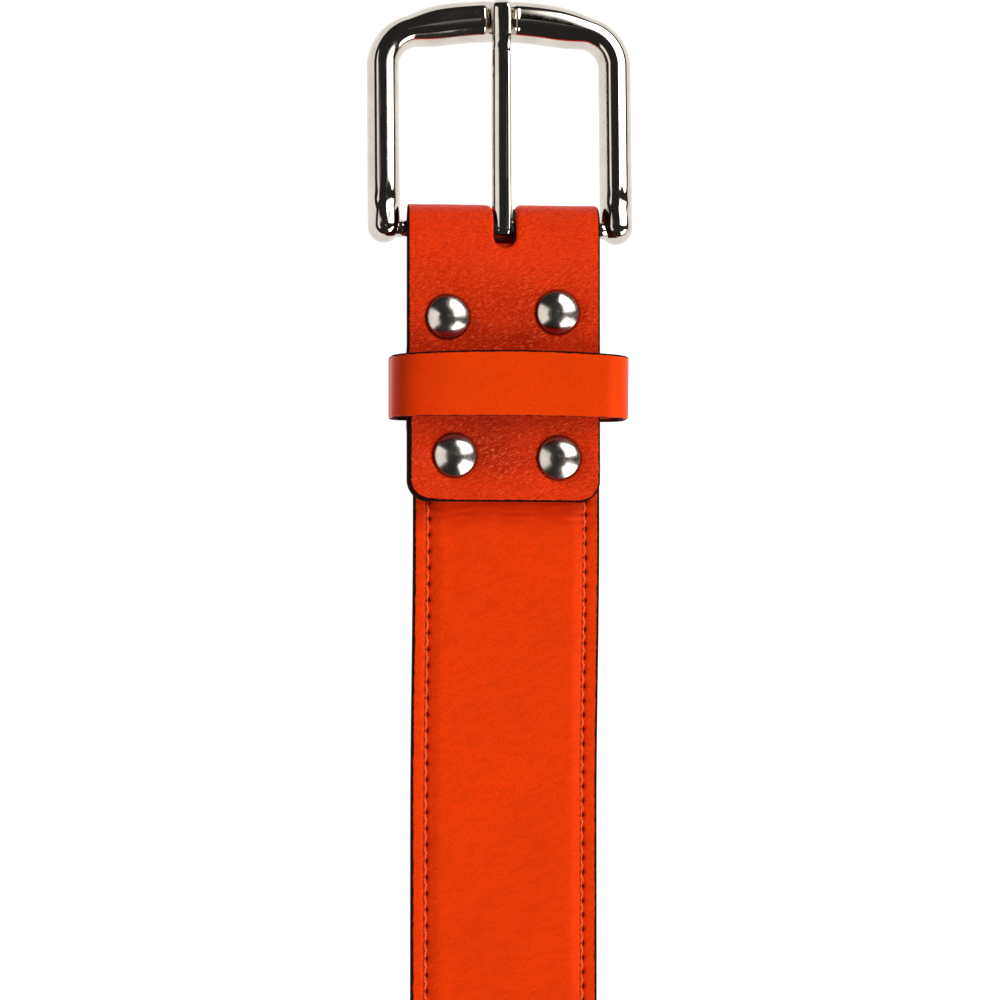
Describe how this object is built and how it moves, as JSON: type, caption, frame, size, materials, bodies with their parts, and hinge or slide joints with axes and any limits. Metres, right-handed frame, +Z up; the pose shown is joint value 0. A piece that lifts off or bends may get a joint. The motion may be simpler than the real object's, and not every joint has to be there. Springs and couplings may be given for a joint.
{
  "type": "leather belt with heel-bar buckle",
  "caption": "Flat leather belt lying open, with a polished arched heel-bar buckle and swinging prong, a riveted buckle tab, a sliding keeper loop, edge stitching and punched tip holes.",
  "frame": {"origin": "on the surface that the belt lies on, under the centre of its bounding box", "axes": "+Y along the belt towards the buckle, +X to the right of the face, +Z up out of the face"},
  "size_m": [0.054, 0.7273, 0.017],
  "materials": {
    "strap_leather": "smooth fine-grained orange leather, satin, black painted edges",
    "filler_board": "raw fibrous leather board, matt",
    "lining_leather": "plain orange lining leather, matt",
    "thread": "twisted sewing thread in the leather's orange",
    "tab_leather": "fine wrinkled grain orange leather, satin, black painted edges",
    "keeper_leather": "smooth orange leather, soft sheen, black painted edges",
    "staple_steel": "plain bright wire",
    "polished_nickel": "mirror-polished nickel plate with light wear",
    "rivet_nickel": "polished nickel plate"
  },
  "bodies": {
    "strap": {"strap_face": "strap_leather", "strap_core": "filler_board", "strap_lining": "lining_leather", "face_thread_left": "thread", "face_thread_right": "thread", "back_thread_left": "thread", "back_thread_right": "thread", "buckle_tab": "tab_leather", "rivet_cap_front_left": "rivet_nickel", "rivet_cap_front_right": "rivet_nickel", "rivet_cap_rear_left": "rivet_nickel", "rivet_cap_rear_right": "rivet_nickel", "rivet_back_front_left": "rivet_nickel", "rivet_back_front_right": "rivet_nickel", "rivet_back_rear_left": "rivet_nickel", "rivet_back_rear_right": "rivet_nickel"},
    "buckle": {"buckle_frame": "polished_nickel", "heel_bar": "polished_nickel"},
    "prong": {"prong": "polished_nickel"},
    "keeper": {"keeper": "keeper_leather", "keeper_staple": "staple_steel"}
  },
  "joints": [
    {"name": "frame_pivot", "type": "hinge", "parent": "strap", "child": "buckle", "pos_m": [0, 0.31625, 0.0063], "axis": [1, 0, 0], "range_deg": [-60, 30]},
    {"name": "prong_pivot", "type": "hinge", "parent": "buckle", "child": "prong", "pos_m": [0, 0.31625, 0.0063], "axis": [1, 0, 0], "range_deg": [0, 75]},
    {"name": "keeper_slide", "type": "slide", "parent": "strap", "child": "keeper", "axis": [0, 1, 0], "range_m": [-0.0014, 0.0014]}
  ]
}
